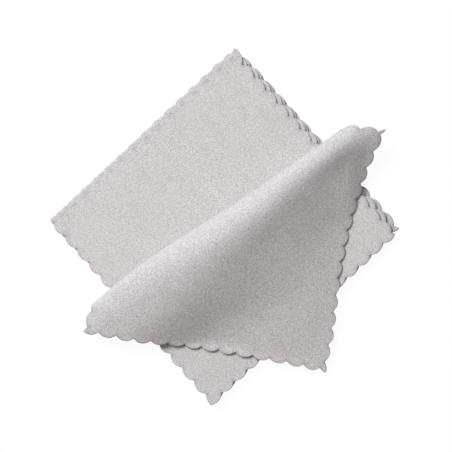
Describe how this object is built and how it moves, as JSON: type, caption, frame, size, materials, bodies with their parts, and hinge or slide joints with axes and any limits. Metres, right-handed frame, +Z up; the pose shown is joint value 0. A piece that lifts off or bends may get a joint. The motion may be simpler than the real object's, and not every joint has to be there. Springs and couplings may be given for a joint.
{
  "type": "applicator towel set",
  "caption": "Thin square suede-like cloths with scalloped edges in a loose stack, the top one folded over along its diagonal; for spreading liquids by hand.",
  "frame": {"origin": "middle of the bottom towel's underside", "axes": "+Z up, square to the towels; +X and +Y along the edges of the stack, with the fold running nearly along X"},
  "size_m": [0.1394, 0.1221, 0.0199],
  "materials": {
    "towel_cloth": "matte short-nap suede microfibre, light warm grey",
    "folded_towel_cloth": "matte short-nap suede microfibre, the same cloth seen against its nap"
  },
  "bodies": {
    "flat_towel_1": {"flat_towel_1": "towel_cloth"},
    "flat_towel_2": {"flat_towel_2": "towel_cloth"},
    "flat_towel_3": {"flat_towel_3": "towel_cloth"},
    "flat_towel_4": {"flat_towel_4": "towel_cloth"},
    "folded_towel": {"folded_towel": "folded_towel_cloth"}
  },
  "joints": [
    {"name": "second_towel_lift", "type": "slide", "parent": "flat_towel_1", "child": "flat_towel_2", "axis": [0, 0, 1], "range_m": [0, 0.06]},
    {"name": "third_towel_lift", "type": "slide", "parent": "flat_towel_2", "child": "flat_towel_3", "axis": [0, 0, 1], "range_m": [0, 0.06]},
    {"name": "fourth_towel_lift", "type": "slide", "parent": "flat_towel_3", "child": "flat_towel_4", "axis": [0, 0, 1], "range_m": [0, 0.06]},
    {"name": "folded_towel_lift", "type": "slide", "parent": "flat_towel_4", "child": "folded_towel", "axis": [0, 0, 1], "range_m": [0, 0.06]}
  ]
}
